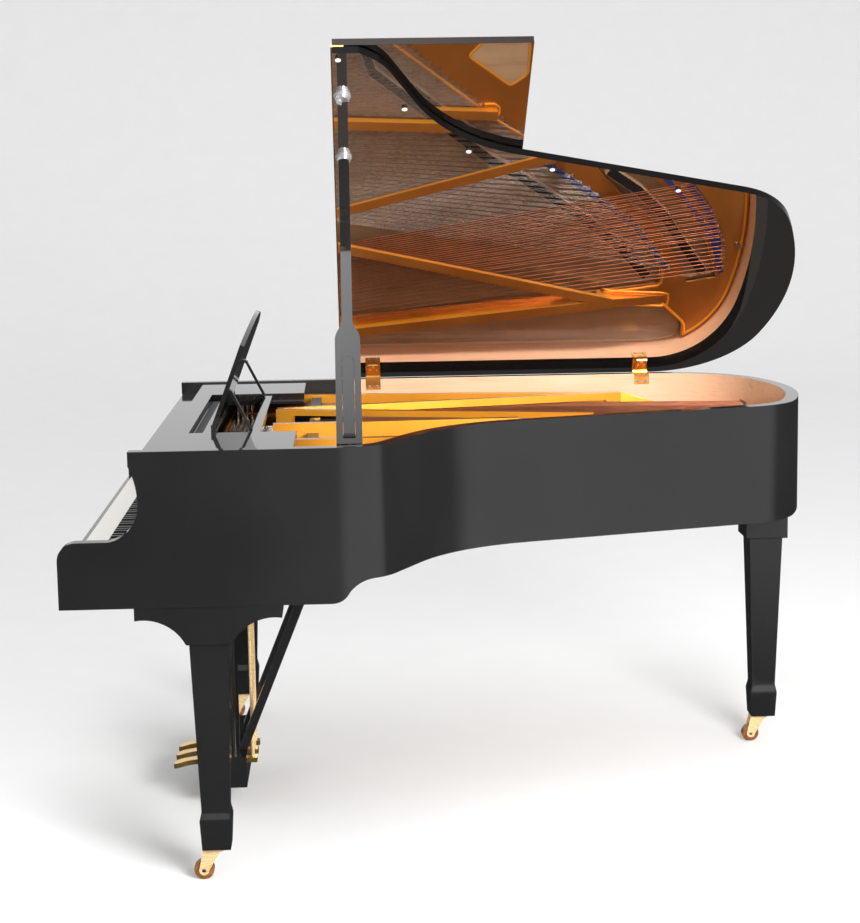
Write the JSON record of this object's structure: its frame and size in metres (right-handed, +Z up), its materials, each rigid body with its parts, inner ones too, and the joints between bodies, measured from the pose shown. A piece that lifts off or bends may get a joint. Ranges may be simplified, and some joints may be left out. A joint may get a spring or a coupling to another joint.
{
  "type": "grand piano",
  "caption": "Black gloss grand piano with its lid on the prop, front flap folded back and desk up; working keys, pedals, dampers and casters.",
  "frame": {"origin": "on the floor under the middle of the whole object as it stands with its lid open", "axes": "+X from the keyboard to the tail, +Y from the treble side to the bass side, +Z up"},
  "size_m": [1.927, 1.5408, 1.956],
  "materials": {
    "black_lacquer": "high-gloss black lacquer over wood",
    "maple": "clear satin varnish",
    "spruce": "clear satin varnish",
    "gold_iron": "bronze-gold paint",
    "steel": "bright drawn wire",
    "copper": "copper winding",
    "brass": "polished",
    "chrome_cup": "polished",
    "felt": "pressed felt",
    "button_rubber": "matt",
    "ivory": "gloss",
    "ebony": "satin"
  },
  "bodies": {
    "case": {"outer_rim": "black_lacquer", "inner_rim": "maple", "keybed": "maple", "key_slip": "black_lacquer", "key_blocks": "black_lacquer", "belly_rail": "maple", "back_braces": "maple", "soundboard": "spruce", "soundboard_ribs": "spruce", "string_bridges": "maple", "iron_plate": "gold_iron", "plate_bolts": "steel", "pin_block": "maple", "tuning_pins": "steel", "agraffes": "brass", "hitch_pins": "steel", "plain_strings": "steel", "wound_strings": "copper", "string_felts": "felt", "leg_blocks": "black_lacquer", "leg_treble": "black_lacquer", "leg_bass": "black_lacquer", "leg_tail": "black_lacquer", "lyre_frame": "black_lacquer", "lyre_box": "black_lacquer", "lyre_braces": "black_lacquer", "lid_hinge_case": "brass", "prop_bracket": "brass", "music_shelf": "black_lacquer"},
    "lid": {"lid_main": "black_lacquer", "lid_hinge_lid": "brass", "flap_hinge_main": "brass", "lid_buttons": "button_rubber", "prop_cups": "chrome_cup"},
    "flap": {"lid_flap": "black_lacquer", "flap_hinge_flap": "brass"},
    "prop": {"prop_stick": "black_lacquer"},
    "short_prop": {"short_prop": "black_lacquer"},
    "tray": {"desk_tray": "black_lacquer"},
    "desk": {"music_desk": "black_lacquer"},
    "struts": {"desk_struts": "brass"},
    "fallboard": {"fallboard": "black_lacquer"},
    "action": {"key_frame": "maple"},
    "naturals": {"natural_keys": "ivory"},
    "sharps": {"sharp_keys": "ebony"},
    "natural_hammers": {"natural_hammers": "maple"},
    "sharp_hammers": {"sharp_hammers": "maple"},
    "dampers": {"dampers": "felt"},
    "pedal_soft": {"pedal_soft": "brass"},
    "rod_soft": {"pedal_rod_soft": "brass"},
    "pedal_sostenuto": {"pedal_sostenuto": "brass"},
    "rod_sostenuto": {"pedal_rod_sostenuto": "brass"},
    "pedal_sustain": {"pedal_sustain": "brass"},
    "rod_sustain": {"pedal_rod_sustain": "brass"},
    "fork_treble": {"caster_fork_treble": "brass"},
    "wheel_treble": {"caster_wheel_treble": "brass"},
    "fork_bass": {"caster_fork_bass": "brass"},
    "wheel_bass": {"caster_wheel_bass": "brass"},
    "fork_tail": {"caster_fork_tail": "brass"},
    "wheel_tail": {"caster_wheel_tail": "brass"}
  },
  "joints": [
    {"name": "lid_lift", "type": "hinge", "parent": "case", "child": "lid", "pos_m": [0.0365, 0.73507, 1.031], "axis": [-1, 0, 0], "range_deg": [0, 25]},
    {"name": "flap_fold", "type": "hinge", "parent": "lid", "child": "flap", "pos_m": [-0.3155, 0.13936, 1.49634], "axis": [0, -0.808, 0.5892], "range_deg": [0, 180]},
    {"name": "prop_fold", "type": "hinge", "parent": "case", "child": "prop", "pos_m": [-0.2935, -0.69643, 1.003], "axis": [-0.8658, 0.3914, -0.3118], "range_deg": [0, 54.36]},
    {"name": "short_prop_swing", "type": "hinge", "parent": "prop", "child": "short_prop", "pos_m": [-0.2935, -0.66653, 1.04055], "axis": [1, 0, 0], "range_deg": [0, 60]},
    {"name": "tray_slide", "type": "slide", "parent": "case", "child": "tray", "axis": [1, 0, 0], "range_m": [-0.03, 0.06]},
    {"name": "desk_tilt", "type": "hinge", "parent": "tray", "child": "desk", "pos_m": [-0.6235, -0.02043, 1.0365], "axis": [0, 1, 0], "range_deg": [0, 69.2]},
    {"name": "strut_fold", "type": "hinge", "parent": "desk", "child": "struts", "pos_m": [-0.58156, -0.02043, 1.12016], "axis": [0, -1, 0], "range_deg": [0, 132.53]},
    {"name": "fallboard_swing", "type": "hinge", "parent": "case", "child": "fallboard", "pos_m": [-0.7495, -0.02043, 0.806], "axis": [0, -1, 0], "range_deg": [0, 86]},
    {"name": "key_shift", "type": "slide", "parent": "case", "child": "action", "axis": [0, -1, 0], "range_m": [0, 0.0026]},
    {"name": "natural_press", "type": "hinge", "parent": "action", "child": "naturals", "pos_m": [-0.7135, -0.02043, 0.756], "axis": [0, -1, 0], "range_deg": [0, 2.4], "stiffness_Nm_per_rad": 60, "springref_deg": -3.44},
    {"name": "sharp_press", "type": "hinge", "parent": "action", "child": "sharps", "pos_m": [-0.7135, -0.02043, 0.756], "axis": [0, -1, 0], "range_deg": [0, 2.4], "stiffness_Nm_per_rad": 60, "springref_deg": -3.44},
    {"name": "natural_strike", "type": "hinge", "parent": "action", "child": "natural_hammers", "pos_m": [-0.5465, -0.02043, 0.885], "axis": [0, -1, 0], "range_deg": [0, 16.1]},
    {"name": "sharp_strike", "type": "hinge", "parent": "action", "child": "sharp_hammers", "pos_m": [-0.5465, -0.02043, 0.885], "axis": [0, -1, 0], "range_deg": [0, 16.1]},
    {"name": "soft_pedal", "type": "hinge", "parent": "case", "child": "pedal_soft", "pos_m": [-0.6335, 0.05757, 0.1], "axis": [0, -1, 0], "range_deg": [0, 8], "stiffness_Nm_per_rad": 40, "springref_deg": -6.88},
    {"name": "soft_rod", "type": "slide", "parent": "case", "child": "rod_soft", "axis": [0, 0, 1], "range_m": [0, 0.009]},
    {"name": "sostenuto_pedal", "type": "hinge", "parent": "case", "child": "pedal_sostenuto", "pos_m": [-0.6335, -0.02043, 0.1], "axis": [0, -1, 0], "range_deg": [0, 8], "stiffness_Nm_per_rad": 40, "springref_deg": -6.88},
    {"name": "sostenuto_rod", "type": "slide", "parent": "case", "child": "rod_sostenuto", "axis": [0, 0, 1], "range_m": [0, 0.009]},
    {"name": "sustain_pedal", "type": "hinge", "parent": "case", "child": "pedal_sustain", "pos_m": [-0.6335, -0.09843, 0.1], "axis": [0, -1, 0], "range_deg": [0, 8], "stiffness_Nm_per_rad": 40, "springref_deg": -6.88},
    {"name": "sustain_rod", "type": "slide", "parent": "case", "child": "rod_sustain", "axis": [0, 0, 1], "range_m": [0, 0.009]},
    {"name": "damper_lift", "type": "slide", "parent": "case", "child": "dampers", "axis": [0, 0, 1], "range_m": [0, 0.0081]},
    {"name": "caster_swivel_treble", "type": "hinge", "parent": "case", "child": "fork_treble", "pos_m": [-0.6255, -0.71043, 0.078], "axis": [0, 0, 1], "continuous": true},
    {"name": "caster_spin_treble", "type": "hinge", "parent": "fork_treble", "child": "wheel_treble", "pos_m": [-0.6575, -0.71043, 0.0235], "axis": [0, 1, 0], "continuous": true},
    {"name": "caster_swivel_bass", "type": "hinge", "parent": "case", "child": "fork_bass", "pos_m": [-0.6255, 0.66957, 0.078], "axis": [0, 0, 1], "continuous": true},
    {"name": "caster_spin_bass", "type": "hinge", "parent": "fork_bass", "child": "wheel_bass", "pos_m": [-0.6575, 0.66957, 0.0235], "axis": [0, 1, 0], "continuous": true},
    {"name": "caster_swivel_tail", "type": "hinge", "parent": "case", "child": "fork_tail", "pos_m": [0.8765, 0.27957, 0.078], "axis": [0, 0, 1], "continuous": true},
    {"name": "caster_spin_tail", "type": "hinge", "parent": "fork_tail", "child": "wheel_tail", "pos_m": [0.8445, 0.27957, 0.0235], "axis": [0, 1, 0], "continuous": true}
  ],
  "couplings": [
    {"joint": "strut_fold", "follows": "desk_tilt", "ratio": 1.9151},
    {"joint": "natural_strike", "follows": "natural_press", "ratio": 6.6667},
    {"joint": "sharp_strike", "follows": "sharp_press", "ratio": 6.6667},
    {"joint": "key_shift", "follows": "soft_pedal", "m_per_rad": 0.017905},
    {"joint": "damper_lift", "follows": "sustain_pedal", "m_per_rad": 0.057296},
    {"joint": "soft_rod", "follows": "soft_pedal", "m_per_rad": 0.0635},
    {"joint": "sostenuto_rod", "follows": "sostenuto_pedal", "m_per_rad": 0.0635},
    {"joint": "sustain_rod", "follows": "sustain_pedal", "m_per_rad": 0.0635}
  ]
}
